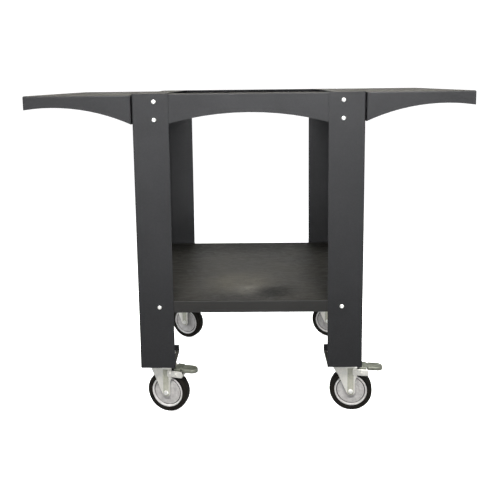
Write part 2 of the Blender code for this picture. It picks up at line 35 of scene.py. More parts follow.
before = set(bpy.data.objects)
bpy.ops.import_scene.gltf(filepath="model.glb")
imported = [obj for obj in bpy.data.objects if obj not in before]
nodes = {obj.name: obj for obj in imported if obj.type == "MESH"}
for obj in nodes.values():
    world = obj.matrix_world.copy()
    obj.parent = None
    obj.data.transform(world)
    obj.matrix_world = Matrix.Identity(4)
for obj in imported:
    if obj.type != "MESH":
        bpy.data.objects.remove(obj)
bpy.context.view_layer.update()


def span(node, axis):
    """Where a CAD node starts and ends along an axis, to a tenth of a millimetre."""
    index = "xyz".index(axis)
    return [round(corner[index], 4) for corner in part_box(node)]


def middle(node, axis):
    return round(sum(span(node, axis)) / 2, 4)


# Sizes that the detailed pieces share with the CAD, from one leg and one castor for all four.
LEG_X = span("leg_front_right", "x")[1]            # outer faces of the legs
LEG_Y = -span("leg_front_right", "y")[0]
SHEET = 0.002
GAP = 0.0003                                       # clearance between neighbouring pieces
NUT_DEPTH = 2 * SHEET + 0.0004                     # from a leg's outer face, through two sheets, to a nut
SIDE_WALL_X = LEG_X + 0.0035                       # inner face of a side shelf's wall, held off by spacers
SIDE_BOLT_LEVELS = {"top": 0.916, "middle": 0.882}
SHELF_TOP = span("lower_shelf", "z")[1]
CASTOR_X = middle("castor_front_right_kingpin", "x")   # the swivel axes, left and right
CASTOR_Y = -middle("castor_front_right_kingpin", "y")
PLATE_TOP = span("castor_front_right_plate", "z")[1]
PLATE_BOTTOM = PLATE_TOP - 0.003
BALLS_Z = middle("castor_front_right_ball_ring", "z")
PLATE_HOLE = 0.034                                 # bolt holes, across and along from the swivel
FOOT_TOP = span("foot_plate_front_right", "z")[0] + 0.003
TRAIL = 0.025                                      # from the swivel axis back to the axle
WHEEL_RADIUS = middle("castor_front_right_tyre", "z")
AXLE_Z = WHEEL_RADIUS
RIM_RADIUS = 0.0477                                # outside of the wheel centre, inside the tyre
TYRE_HALF = 0.0158
FORK_TOP = span("castor_front_right_fork", "z")[1]
FORK_OUTER = 0.0215
FORK_SHEET = 0.003
FORK_EYE = 0.0123                                  # radius of the fork's end round the axle
FORK_BACK = -0.027
FORK_FRONT = 0.0428
PANEL = (0.0155, 0.0332)                           # the fork's pressed panel, along x
LANES = (12, 12, 8)                                # strips of the back flank, panel and front flank
BRACKET_LOW, BRACKET_HIGH = span("castor_front_right_brake_bracket", "z")
CHEEK_OUTER = 0.0243
WEB_TOP = 0.1225
PIVOT = (0.0565, 0.1225)                           # the pedal's pin, x and z
PIVOT_EYE = 0.0065                                 # radius of the pedal's arms round the pin
PEDAL_TOP = span("castor_front_right_brake_pedal", "z")[1]
# name, side, end, angle it has swung, whether it has a brake
CASTORS = (
    ("front_left", -1, -1, 15.5, True),
    ("front_right", 1, -1, 8.0, True),
    ("rear_left", -1, 1, 27.0, False),
    ("rear_right", 1, 1, 20.0, False),
)


# Shader nodes

class Shader:
    """Builds a Principled material's node tree with short calls."""

    def __init__(self, name):
        self.material = bpy.data.materials.new(name)
        self.material.use_nodes = True
        self.tree = self.material.node_tree
        self.surface = self.tree.nodes["Principled BSDF"]
        self.position = self.add("ShaderNodeTexCoord").outputs["Object"]

    def add(self, kind, **settings):
        node = self.tree.nodes.new(kind)
        for key, value in settings.items():
            setattr(node, key, value)
        return node

    def link(self, source, target):
        self.tree.links.new(source, target)

    def set(self, **values):
        for key, value in values.items():
            self.surface.inputs[key.replace("_", " ")].default_value = value

    def stretched(self, scale):
        mapping = self.add("ShaderNodeMapping")
        mapping.inputs["Scale"].default_value = scale
        self.link(self.position, mapping.inputs["Vector"])
        return mapping.outputs["Vector"]

    def noise(self, scale, detail=3.0, roughness=0.55, vector=None, distortion=0.0):
        node = self.add("ShaderNodeTexNoise")
        node.inputs["Scale"].default_value = scale
        node.inputs["Detail"].default_value = detail
        node.inputs["Roughness"].default_value = roughness
        node.inputs["Distortion"].default_value = distortion
        self.link(vector or self.position, node.inputs["Vector"])
        return node.outputs["Fac"]

    def cells(self, scale):
        node = self.add("ShaderNodeTexVoronoi")
        node.inputs["Scale"].default_value = scale
        self.link(self.position, node.inputs["Vector"])
        return node.outputs["Color"]

    def ramp(self, value, stops):
        """Each stop is a place between 0 and 1 and the colour there."""
        node = self.add("ShaderNodeValToRGB")
        stops = list(stops)
        elements = node.color_ramp.elements
        while len(elements) < len(stops):
            elements.new(0.5)
        for element, (stop, colour) in zip(elements, stops):
            element.position = stop
            element.color = (*colour, 1.0)
        self.link(value, node.inputs["Fac"])
        return node.outputs["Color"]

    def range(self, value, low, high, new_low, new_high):
        """Maps low to new_low and high to new_high, and stays between them."""
        node = self.add("ShaderNodeMapRange", clamp=True)
        for socket, number in zip(node.inputs[1:5], (low, high, new_low, new_high)):
            socket.default_value = number
        self.link(value, node.inputs[0])
        return node.outputs[0]

    def maths(self, operation, first, second):
        node = self.add("ShaderNodeMath", operation=operation)
        for socket, value in zip(node.inputs, (first, second)):
            if isinstance(value, float):
                socket.default_value = value
            else:
                self.link(value, socket)
        return node.outputs[0]

    def mix(self, factor, first, second, blend="MIX"):
        node = self.add("ShaderNodeMix", data_type="RGBA", blend_type=blend)
        for socket, value in ((node.inputs[0], factor), (node.inputs[6], first), (node.inputs[7], second)):
            if isinstance(value, float):
                socket.default_value = value
            elif isinstance(value, tuple):
                socket.default_value = (*value, 1.0)
            else:
                self.link(value, socket)
        return node.outputs[2]

    def rise(self, axis, start, end):
        """Goes from 0 at start to 1 at end, along an axis."""
        parts = self.add("ShaderNodeSeparateXYZ")
        self.link(self.position, parts.inputs[0])
        return self.range(parts.outputs[axis], start, end, 0.0, 1.0)

    def spot(self, centre, radius):
        """1 around the centre, falling to 0 at the radius."""
        away = self.add("ShaderNodeVectorMath", operation="DISTANCE")
        self.link(self.position, away.inputs[0])
        away.inputs[1].default_value = centre
        core = 0.4 * radius
        return self.range(away.outputs["Value"], core, radius, 1.0, 0.0)

    def facing_up(self):
        """1 on faces that point straight up, 0 on upright ones and below."""
        geometry = self.add("ShaderNodeNewGeometry")
        parts = self.add("ShaderNodeSeparateXYZ")
        self.link(geometry.outputs["Normal"], parts.inputs[0])
        sloping, level = 0.6, 0.97
        return self.range(parts.outputs["Z"], sloping, level, 0.0, 1.0)

    def colour(self, socket):
        self.link(socket, self.surface.inputs["Base Color"])

    def rough(self, socket):
        self.link(socket, self.surface.inputs["Roughness"])

    def bump(self, *layers):
        """Each layer is (height, strength, distance)."""
        normal = None
        for height, strength, distance in layers:
            node = self.add("ShaderNodeBump")
            node.inputs["Strength"].default_value = strength
            node.inputs["Distance"].default_value = distance
            self.link(height, node.inputs["Height"])
            if normal:
                self.link(normal, node.inputs["Normal"])
            normal = node.outputs["Normal"]
        self.link(normal, self.surface.inputs["Normal"])


# Materials. Each pair of colours is the darkest and the lightest of the surface.

PAINT = ((0.0140, 0.0144, 0.0158), (0.0180, 0.0185, 0.0203))
PAINT_SPECULAR = 0.19
SPECKLE = ((0.86, 0.86, 0.86), (1.12, 1.11, 1.09))
# Pale tan laid on faces that point up: partly dust, partly painted sheen.
DUST_AND_SHEEN = (0.140, 0.132, 0.110)
DUST_AND_SHEEN_COVER = 0.42
SHELF_PAINT = ((0.0156, 0.0154, 0.0150), (0.0196, 0.0193, 0.0186))
# Pale olive tone on the shelf's top: partly haze, partly painted sheen.
SHELF_HAZE_AND_SHEEN = (0.060, 0.052, 0.032)
SHELF_HAZE_AND_SHEEN_COVER = 0.13
# Painted shade on the lower shelf's top, beside the legs at its sides and along its back.
SHELF_EDGE_SHADE = (0.62, 0.62, 0.60)      # what the shelf's colour is multiplied by along its edges
# x, y, radius and tone of the marks on the lower shelf
SHELF_SMUDGES = (
    (-0.030, -0.165, 0.130, (0.040, 0.037, 0.029)),
    (-0.012, -0.225, 0.055, (0.056, 0.053, 0.045)),
    (0.066, -0.255, 0.062, (0.0045, 0.0045, 0.0040)),
    (0.100, -0.235, 0.050, (0.0060, 0.0060, 0.0050)),
)
RUBBER = ((0.0035, 0.0030, 0.0025), (0.012, 0.010, 0.007))
ZINC_CRYSTALS = ((0.90, 0.91, 0.93), (1.06, 1.05, 1.02))


def coat_surface(s):
    """The slight waves and the fine grain of powder coating."""
    s.bump((s.noise(46.0, 3.0), 0.12, 0.002), (s.noise(950.0, 2.0), 0.22, 0.0004))
    s.set(Specular_IOR_Level=PAINT_SPECULAR)


def powder_coat_material():
    """Matt black coating with a fine speckle, and a little dust and painted sheen where it faces up."""
    s = Shader("powder_coat_visual")
    base = s.ramp(s.noise(5.0, 4.0, 0.6), zip((0.30, 0.72), PAINT))
    speckle = s.ramp(s.noise(420.0, 2.0), zip((0.38, 0.70), SPECKLE))
    base = s.mix(1.0, base, speckle, "MULTIPLY")
    # Dust and painted sheen: faces that point up are lightened towards a pale tan, in clouds.
    dust_and_sheen_cloud = s.range(s.noise(9.0, 6.0, 0.68), 0.30, 0.70, 0.62, 1.0)
    dust_and_sheen = s.maths("MULTIPLY", s.facing_up(), dust_and_sheen_cloud)
    s.colour(s.mix(s.maths("MULTIPLY", dust_and_sheen, DUST_AND_SHEEN_COVER), base, DUST_AND_SHEEN))
    s.rough(s.range(s.noise(14.0, 5.0, 0.65), 0.3, 0.7, 0.50, 0.64))
    coat_surface(s)
    return s.material


def shelf_material():
    """The same coating, hazy and smeared on top, partly with painted sheen, and darker towards the sides and
    the back with painted shade.
    """
    s = Shader("powder_coat_shelf_visual")
    base = s.ramp(s.noise(5.0, 4.0, 0.6), zip((0.30, 0.72), SHELF_PAINT))
    up = s.facing_up()
    # Faces that point up take a pale olive cloud: partly haze, partly painted sheen.
    cloud = s.range(s.noise(7.0, 8.0, 0.72, distortion=0.6), 0.36, 0.66, 0.25, 1.0)
    haze_and_sheen = s.maths("MULTIPLY", s.maths("MULTIPLY", up, cloud), SHELF_HAZE_AND_SHEEN_COVER)
    base = s.mix(haze_and_sheen, base, SHELF_HAZE_AND_SHEEN)
    # Painted shade: the top is darkened towards the sides and the back.
    for edge in (s.rise("X", -0.150, -0.235), s.rise("X", 0.150, 0.235), s.rise("Y", 0.170, 0.290)):
        base = s.mix(s.maths("MULTIPLY", up, edge), base, SHELF_EDGE_SHADE, "MULTIPLY")
    streaks = s.range(s.noise(46.0, 6.0, 0.7, s.stretched((1.0, 1.6, 1.0)), 2.4), 0.45, 0.52, 0.0, 1.0)
    for x, y, radius, tone in SHELF_SMUDGES:
        patch = s.maths("MULTIPLY", s.spot((x, y, SHELF_TOP), radius), streaks)
        base = s.mix(s.maths("MULTIPLY", up, patch), base, tone)
    s.colour(base)
    smears = s.noise(16.0, 9.0, 0.78, s.stretched((1.0, 2.2, 1.0)), 1.8)
    s.rough(s.range(smears, 0.38, 0.62, 0.36, 0.62))
    coat_surface(s)
    return s.material


def zinc_material(name, dark, light, low_rough, high_rough, metallic):
    """Plated steel: clouded, with a faint crystal pattern."""
    s = Shader(name)
    base = s.ramp(s.noise(70.0, 5.0, 0.65), [(0.30, dark), (0.70, light)])
    tint = s.ramp(s.cells(420.0), zip((0.0, 1.0), ZINC_CRYSTALS))
    s.colour(s.mix(1.0, base, tint, "MULTIPLY"))
    s.rough(s.range(s.noise(160.0, 4.0, 0.7), 0.3, 0.7, low_rough, high_rough))
    s.bump((s.noise(240.0, 4.0, 0.7), 0.16, 0.0006))
    s.set(Metallic=metallic)
    return s.material


def rim_material(name, dark, light, rough):
    """Moulded grey plastic, mottled by use."""
    s = Shader(name)
    s.colour(s.ramp(s.noise(85.0, 5.0, 0.7), [(0.34, dark), (0.64, light)]))
    s.rough(s.range(s.noise(210.0, 3.0), 0.3, 0.7, rough, rough + 0.14))
    s.bump((s.noise(620.0, 2.0), 0.12, 0.0003))
    s.set(Specular_IOR_Level=0.5)
    return s.material


def rubber_material():
    s = Shader("tyre_rubber_visual")
    s.colour(s.ramp(s.noise(34.0, 6.0, 0.7), zip((0.32, 0.70), RUBBER)))
    s.rough(s.range(s.noise(90.0, 5.0, 0.7), 0.3, 0.7, 0.44, 0.66))
    s.bump((s.noise(520.0, 3.0), 0.30, 0.0004), (s.noise(60.0, 4.0), 0.15, 0.001))
    s.set(Specular_IOR_Level=0.16)
    return s.material


powder_coat = powder_coat_material()
shelf_coat = shelf_material()
zinc = zinc_material("zinc_visual", (0.80, 0.79, 0.74), (0.92, 0.91, 0.86), 0.28, 0.42, 0.70)
# A darker, duller copy of the zinc for the fork's pressed panels: painted shade.
zinc_panel_painted_shade = zinc_material("zinc_panel_painted_shade_visual", (0.38, 0.38, 0.32), (0.50, 0.50, 0.43), 0.32, 0.46, 0.45)
bright_zinc = zinc_material("bright_zinc_visual", (0.84, 0.83, 0.81), (0.93, 0.93, 0.91), 0.24, 0.38, 0.60)
pedal_steel = zinc_material("pedal_steel_visual", (0.13, 0.14, 0.11), (0.24, 0.25, 0.21), 0.36, 0.55, 0.5)
wheel_grey = rim_material("wheel_grey_visual", (0.30, 0.290, 0.285), (0.47, 0.460, 0.455), 0.36)
# Near-black copy of the wheel's grey for the groove: painted shade.
wheel_groove_painted_shade = rim_material("wheel_groove_painted_shade_visual", (0.030, 0.028, 0.028), (0.06, 0.058, 0.058), 0.60)
# Lighter copy of the wheel's grey for the bead beside the tyre: painted highlight.
wheel_ring_painted_highlight = rim_material("wheel_ring_painted_highlight_visual", (0.50, 0.485, 0.48), (0.62, 0.61, 0.605), 0.32)
rubber = rubber_material()


# Meshes

SHARP_ANGLE = 32.0
HERE = Matrix.Identity(4)


def new_object(name, mesh, *materials):
    for material in materials:
        mesh.materials.append(material)
    obj = bpy.data.objects.new(name, mesh)
    bpy.context.scene.collection.objects.link(obj)
    return obj


def finished_mesh(bm, name):
    """The bmesh as a mesh, smooth except across its sharp edges."""
    bmesh.ops.recalc_face_normals(bm, faces=bm.faces)
    mesh = bpy.data.meshes.new(name)
    bm.to_mesh(mesh)
    bm.free()
    mesh.shade_smooth()
    mesh.set_sharp_from_angle(angle=math.radians(SHARP_ANGLE))
    return mesh


def lathe(profile, steps, closed=False, material_of=None):
    """Turns (radius, height) points about Z. material_of gives a band's material by its place."""
    bm = bmesh.new()
    rings = []
    for radius, height in profile:
        if radius < 1e-7:
            rings.append([bm.verts.new((0.0, 0.0, height))])
            continue
        ring = []
        for i in range(steps):
            angle = math.tau * i / steps
            ring.append(bm.verts.new((radius * math.cos(angle), radius * math.sin(angle), height)))
        rings.append(ring)
    pairs = list(zip(rings, rings[1:]))
    if closed:
        pairs.append((rings[-1], rings[0]))
    for band, (first, second) in enumerate(pairs):
        for i in range(steps):
            j = (i + 1) % steps
            corners = [first[i % len(first)], first[j % len(first)],
                       second[j % len(second)], second[i % len(second)]]
            face = bm.faces.new(list(dict.fromkeys(corners)))
            if material_of:
                face.material_index = material_of(band)
    return bm


def prism(sides, radius, low, high, bevel):
    """A nut's or a bolt head's body, its top and bottom corners taken off."""
    bm = bmesh.new()
    levels = ((radius - bevel, low), (radius, low + bevel * 0.6),
              (radius, high - bevel * 0.6), (radius - bevel, high))
    directions = [(math.cos(math.tau * i / sides), math.sin(math.tau * i / sides)) for i in range(sides)]
    rings = [
        [bm.verts.new((size * across, size * along, height)) for across, along in directions]
        for size, height in levels
    ]
    for first, second in zip(rings, rings[1:]):
        for i in range(sides):
            j = (i + 1) % sides
            bm.faces.new((first[i], first[j], second[j], second[i]))
    bm.faces.new(rings[0])
    bm.faces.new(rings[-1])
    return bm


def slab(outlines, thickness, bevel):
    """A flat plate between z 0 and its thickness, with rounded rims; later outlines are holes."""
    curve = bpy.data.curves.new("outline", "CURVE")
    curve.dimensions = "2D"
    curve.fill_mode = "BOTH"
    curve.extrude = thickness / 2 - bevel
    curve.bevel_depth = bevel
    curve.bevel_resolution = 1
    curve.offset = -bevel
    for outline in outlines:
        spline = curve.splines.new("POLY")
        spline.points.add(len(outline) - 1)
        for point, (x, y) in zip(spline.points, outline):
            point.co = (x, y, 0.0, 1.0)
        spline.use_cyclic_u = True
    obj = bpy.data.objects.new("outline", curve)
    bpy.context.scene.collection.objects.link(obj)
    bpy.context.view_layer.update()
    graph = bpy.context.evaluated_depsgraph_get()
    mesh = bpy.data.meshes.new_from_object(obj.evaluated_get(graph))
    bpy.data.objects.remove(obj)
    bm = bmesh.new()
    bm.from_mesh(mesh)
    bpy.data.meshes.remove(mesh)
    bmesh.ops.remove_doubles(bm, verts=bm.verts, dist=0.00001)
    bmesh.ops.translate(bm, verts=bm.verts, vec=(0.0, 0.0, thickness / 2))
    return bm


def loft(rows, material_of=None):
    """A sheet through rows of points, each with as many points as the next."""
    bm = bmesh.new()
    grid = [[bm.verts.new(point) for point in row] for row in rows]
    for j, (first, second) in enumerate(zip(grid, grid[1:])):
        for i in range(len(first) - 1):
            face = bm.faces.new((first[i], first[i + 1], second[i + 1], second[i]))
            if material_of:
                face.material_index = material_of(j, i)
    return bm


def merged(*pieces):
    """One bmesh from several (bmesh, matrix) pairs."""
    result = bmesh.new()
    for bm, matrix in pieces:
        mesh = bpy.data.meshes.new("piece")
        bmesh.ops.recalc_face_normals(bm, faces=bm.faces)
        bm.to_mesh(mesh)
        bm.free()
        mesh.transform(matrix)
        result.from_mesh(mesh)
        bpy.data.meshes.remove(mesh)
    return result


def shift(x, y, z):
    return Matrix.Translation((x, y, z))


def turn(degrees, axis):
    return Matrix.Rotation(math.radians(degrees), 4, axis)


def arc(centre, radius, start, end, steps):
    angles = [math.radians(start + (end - start) * i / steps) for i in range(steps + 1)]
    return [(centre[0] + radius * math.cos(a), centre[1] + radius * math.sin(a)) for a in angles]


def rounded_rectangle(low, high, radius, steps=6):
    left, right = low[0] + radius, high[0] - radius
    bottom, top = low[1] + radius, high[1] - radius
    points = []
    centres = ((right, top), (left, top), (left, bottom), (right, bottom))
    for quarter, centre in enumerate(centres):
        points += arc(centre, radius, 90 * quarter, 90 * quarter + 90, steps)
    return points


def moved(points, x, y, degrees):
    """An outline turned, then shifted, in its plane."""
    across, along = math.cos(math.radians(degrees)), math.sin(math.radians(degrees))
    return [(x + a * across - b * along, y + a * along + b * across) for a, b in points]


def blend_line(points, value):
    """Reads a line of (place, value) points, in rising order of place."""
    if value <= points[0][0]:
        return points[0][1]
    for (a, x), (b, y) in zip(points, points[1:]):
        if value <= b:
            return x + (y - x) * (value - a) / (b - a)
    return points[-1][1]


def smooth(value):
    """0 below 0, 1 above 1, and an even curve between."""
    value = min(1.0, max(0.0, value))
    return value * value * (3 - 2 * value)


# Castor pieces, in the castor's own frame: the swivel axis is z and the wheel trails to +x

def tyre_bmesh():
    half = TYRE_HALF
    side = [
        (RIM_RADIUS, half - 0.0026), (RIM_RADIUS + 0.0006, half - 0.0012),
        (RIM_RADIUS + 0.0016, half - 0.0005), (RIM_RADIUS + 0.0026, half - 0.0005),
        (RIM_RADIUS + 0.0030, half - 0.0001), (RIM_RADIUS + 0.0060, half),
        (WHEEL_RADIUS - 0.0052, half - 0.0002), (WHEEL_RADIUS - 0.0032, half - 0.0008),
        (WHEEL_RADIUS - 0.0018, half - 0.0020), (WHEEL_RADIUS - 0.0008, half - 0.0038),
        (WHEEL_RADIUS - 0.0003, half - 0.0062), (WHEEL_RADIUS - 0.0001, half - 0.0085),
        (WHEEL_RADIUS - 0.0001, 0.0052), (WHEEL_RADIUS - 0.0008, 0.0049),
        (WHEEL_RADIUS - 0.0008, 0.0041), (WHEEL_RADIUS, 0.0038), (WHEEL_RADIUS, 0.0002),
    ]
    profile = side + [(radius, -height) for radius, height in reversed(side)]
    return lathe(profile, 120, closed=True)


def wheel_centre_bmesh():
    """A moulded disc: hub, shallow rings, a groove darkened with painted shade and a bead beside the tyre
    lightened with a painted highlight.
    """
    half = [
        (0.0043, 0.0174), (0.0088, 0.0176), (0.0098, 0.0170), (0.0102, 0.0152),
        (0.0120, 0.0134), (0.0150, 0.0128), (0.0185, 0.0127), (0.0192, 0.0133), (0.0205, 0.0133),
        (0.0212, 0.0126), (0.0268, 0.0123), (0.0274, 0.0128), (0.0285, 0.0128), (0.0291, 0.0122),
        (0.0388, 0.0118), (0.0396, 0.0117), (0.0400, 0.0096), (0.0424, 0.0096),
        (0.0428, 0.0136), (0.0436, 0.0149), (0.0454, 0.0153), (0.0468, 0.0148), (0.0474, 0.0134),
    ]
    groove, bead = 15, 17           # the bands of the profile where each one starts
    profile = half + [(radius, -height) for radius, height in reversed(half)]
    last = len(profile) - 2

    # The bead takes the painted highlight and the groove the painted shade.
    def material_of(band):
        near = min(band, last - band)
        if near >= bead:
            return 1
        return 2 if near >= groove else 0

    return lathe(profile, 96, closed=True, material_of=material_of)


def fork_edges(z):
    """The leg's back and front edge at a height."""
    tangent = 0.0572                # where the back edge meets the round end
    drop = AXLE_Z - z
    reach = math.sqrt(max(0.0, FORK_EYE ** 2 - drop ** 2)) if drop > 0 else FORK_EYE
    back = blend_line([(tangent, 0.0139), (0.1124, -0.0126), (0.1275, FORK_BACK)], z)
    front = blend_line([(0.096, TRAIL + FORK_EYE), (0.108, FORK_FRONT)], z)
    if z < tangent:
        back = TRAIL - reach
    if z < AXLE_Z:
        front = TRAIL + reach
    return back, front


def fork_lanes(back, front):
    """Places across the leg: its back flank, the pressed panel and the front flank."""
    least = 0.0010                  # a flank's width where the panel reaches the edge
    left = max(PANEL[0], back + least)
    right = min(PANEL[1], front - least)
    xs = []
    for start, end, steps in zip((back, left, right), (left, right, front), LANES):
        xs += [start + (end - start) * i / steps for i in range(steps)]
    return xs + [front]


def fork_inset(x, z):
    """How far the leg's sheet lies inside its outermost plane: flank, panel and rounded back."""
    level = smooth((z - 0.070) / 0.016) * smooth((0.1375 - z) / 0.006)
    flank = 0.0024 * min(1.0, max(0.0, PANEL[0] - x) / 0.022) ** 1.3
    panel = 0.0011 * smooth((x - PANEL[0]) / 0.0022) * smooth((PANEL[1] - x) / 0.0022)
    rounded = 0.0085 * max(0.0, (-0.011 - x) / 0.016) ** 1.6 * smooth((z - 0.106) / 0.010)
    return level * (flank + panel) + rounded * smooth((0.1395 - z) / 0.004)


def channel_rows(leg_row, crown_row, heights, outer, top, bend, bend_steps, crown_steps):
    """Rows of a bent sheet: up one leg, round a bend, across the crown and down the other leg."""
    flat = outer - bend
    angles = [math.pi / 2 * i / bend_steps for i in range(1, bend_steps)]
    curve = [(outer - bend * (1 - math.cos(angle)), top - bend * (1 - math.sin(angle))) for angle in angles]
    rows = [leg_row(-1, z) for z in heights]
    rows += [crown_row(-y, z) for y, z in curve]
    rows += [crown_row(-flat + 2 * flat * i / crown_steps, top) for i in range(crown_steps + 1)]
    rows += [crown_row(y, z) for y, z in reversed(curve)]
    return rows + [leg_row(1, z) for z in reversed(heights)]


def fork_bmesh():
    """One pressed sheet: two legs and, between them, the crown, with a soft bend."""
    bend = 0.0055
    steps = 40
    top = FORK_TOP - bend
    heights = [AXLE_Z - FORK_EYE * math.cos(math.radians(a)) for a in range(5, 90, 9)]
    heights += [AXLE_Z + (top - AXLE_Z) * i / steps for i in range(steps + 1)]
    bulge_half, bulge = 0.016, 0.002

    def leg_row(side, z):
        lanes = fork_lanes(*fork_edges(z))
        return [(x, side * (FORK_OUTER - fork_inset(x, z)), z) for x in lanes]

    def crown_row(y, z):
        back = FORK_BACK
        if abs(y) < bulge_half:
            back -= bulge * math.sqrt(1 - (y / bulge_half) ** 2)
        return [(x, y, z) for x in fork_lanes(back, FORK_FRONT)]

    rows = channel_rows(leg_row, crown_row, heights, FORK_OUTER, FORK_TOP, bend, 7, 10)
    last = len(rows) - 2
    panel_rows = len(heights) - 3
    panel_lanes = range(LANES[0], LANES[0] + LANES[1])

    # Painted shade: the pressed panel on each leg takes the second, darker copy of the zinc.
    def material_of(row, column):
        return 1 if min(row, last - row) < panel_rows and column in panel_lanes else 0

    bm = loft(rows, material_of)
    outward(bm, (0.01, 0.0, 0.10))
    return thickened(bm, FORK_SHEET)


def outward(bm, inside):
    """Turns an open sheet's faces away from a point inside it."""
    bmesh.ops.recalc_face_normals(bm, faces=bm.faces)
    bm.normal_update()
    centre = Vector(inside)
    facing = sum(f.normal.dot(f.calc_center_median() - centre) * f.calc_area() for f in bm.faces)
    if facing < 0:
        bmesh.ops.reverse_faces(bm, faces=bm.faces)


def thickened(bm, thickness):
    """The sheet as a closed solid, grown away from its normals."""
    mesh = bpy.data.meshes.new("sheet")
    bm.to_mesh(mesh)
    bm.free()
    obj = bpy.data.objects.new("sheet", mesh)
    bpy.context.scene.collection.objects.link(obj)
    solid = obj.modifiers.new("thickness", "SOLIDIFY")
    solid.thickness = thickness
    solid.offset = -1.0
    solid.use_even_offset = True
    rim = obj.modifiers.new("rims", "BEVEL")
    rim.width = thickness * 0.18
    rim.segments = 2
    rim.limit_method = "ANGLE"
    rim.angle_limit = math.radians(60)
    bpy.context.view_layer.update()
    graph = bpy.context.evaluated_depsgraph_get()
    solid_mesh = bpy.data.meshes.new_from_object(obj.evaluated_get(graph))
    bpy.data.objects.remove(obj)
    result = bmesh.new()
    result.from_mesh(solid_mesh)
    bpy.data.meshes.remove(solid_mesh)
    return result


def washer(inner, outer, height):
    edge = height * 0.25
    return lathe([(inner, 0.0), (outer - edge, 0.0), (outer, edge), (outer, height - edge),
                  (outer - edge, height), (inner, height)], 32, closed=True)


def axle_bmesh():
    """A hexagon bolt with a washer on one side, and its nut and thread end on the other."""
    washer_height = 0.0010
    head = prism(6, 0.0064, 0.0, 0.0042, 0.0006)
    dome = lathe([(0.0045, 0.0041), (0.0043, 0.0044), (0.0, 0.0046)], 24)
    nut = prism(6, 0.0064, 0.0, 0.0036, 0.0006)
    end = lathe([(0.0036, 0.0030), (0.0036, 0.0048), (0.0030, 0.0053), (0.0, 0.0053)], 24)
    face = FORK_OUTER + 0.0002
    front = shift(TRAIL, -face, AXLE_Z) @ turn(90, "X")
    back = shift(TRAIL, face, AXLE_Z) @ turn(-90, "X")
    outside = shift(0.0, 0.0, washer_height - 0.0001)
    shank = lathe([(0.0, -face), (0.0039, -face), (0.0039, face), (0.0, face)], 24)
    return merged(
        (washer(0.0040, 0.0072, washer_height), front), (head, front @ outside), (dome, front @ outside),
        (washer(0.0040, 0.0072, washer_height), back), (nut, back @ outside), (end, back),
        (shank, shift(TRAIL, 0.0, AXLE_Z) @ turn(90, "X")),
    )


def bracket_bmesh():
    """Two cheeks and a web behind the wheel, a rivet and the pedal's pin through each cheek."""
    sheet = 0.0025
    inner = CHEEK_OUTER - sheet
    start, end = 0.030, 0.077
    pin_start, pin_end = inner + 0.001, 0.0172
    web_half = CHEEK_OUTER - 0.0006
    cheek = [rounded_rectangle((start, BRACKET_LOW), (end, BRACKET_HIGH), 0.004)]
    web = [rounded_rectangle((-web_half, BRACKET_LOW + 0.0015), (web_half, WEB_TOP), 0.0006, 3)]
    web_place = shift(end - sheet - 0.0004, 0.0, 0.0) @ turn(90, "Z") @ turn(90, "X")
    pieces = [(slab(web, sheet, 0.0004), web_place)]
    for side in (-1, 1):
        outside = turn(-90 * side, "X")
        inside = turn(90 * side, "X")
        plane = inner if side < 0 else CHEEK_OUTER
        rivet = lathe([(0.0, 0.0018), (0.0016, 0.0017), (0.0030, 0.0010), (0.0036, 0.0)], 24)
        head = lathe([(0.0, 0.0014), (0.0034, 0.0014), (0.0042, 0.0010), (0.0044, 0.0)], 24)
        length = pin_start - pin_end
        pin = lathe([(0.0, 0.0), (0.0030, 0.0), (0.0030, length), (0.0, length)], 24)
        pieces += [
            (slab(cheek, sheet, 0.0005), shift(0.0, side * plane, 0.0) @ turn(90, "X")),
            (rivet, shift(0.0385, side * CHEEK_OUTER, 0.1260) @ outside),
            (head, shift(PIVOT[0], side * CHEEK_OUTER, PIVOT[1]) @ outside),
            (pin, shift(PIVOT[0], side * pin_start, PIVOT[1]) @ inside),
        ]
    return merged(*pieces)


def tread_bmesh():
    """The pedal's tread: a shallow dish with a round tip and its rim turned down."""
    half = 0.0170
    start, tip = 0.0730, 0.1170 - half
    corner_radius = 0.0032
    levels = [                      # how far in from the rim, and how far below the top
        (0.0120, 0.0016), (0.0090, 0.0016), (0.0065, 0.0013), (0.0045, 0.0004), (0.0030, 0.0),
        (0.0018, 0.0002), (0.0008, 0.0010), (0.0002, 0.0021), (0.0, 0.0032), (0.0, 0.0070), (0.0, 0.0109),
    ]

    def ring(inset, drop):
        reach = half - inset
        corner = max(0.0004, corner_radius - inset)
        points = arc((tip, 0.0), reach, -90, 90, 20)
        points += arc((start + inset + corner, reach - corner), corner, 90, 180, 5)
        points += arc((start + inset + corner, -reach + corner), corner, 180, 270, 5)
        return [(x, y, PEDAL_TOP - drop) for x, y in points]

    bm = bmesh.new()
    rings = [[bm.verts.new(point) for point in ring(inset, drop)] for inset, drop in levels]
    for first, second in zip(rings, rings[1:]):
        for i in range(len(first)):
            j = (i + 1) % len(first)
            bm.faces.new((first[i], first[j], second[j], second[i]))
    bm.faces.new(rings[0])
    outward(bm, (0.095, 0.0, 0.130))
    return thickened(bm, 0.0020)


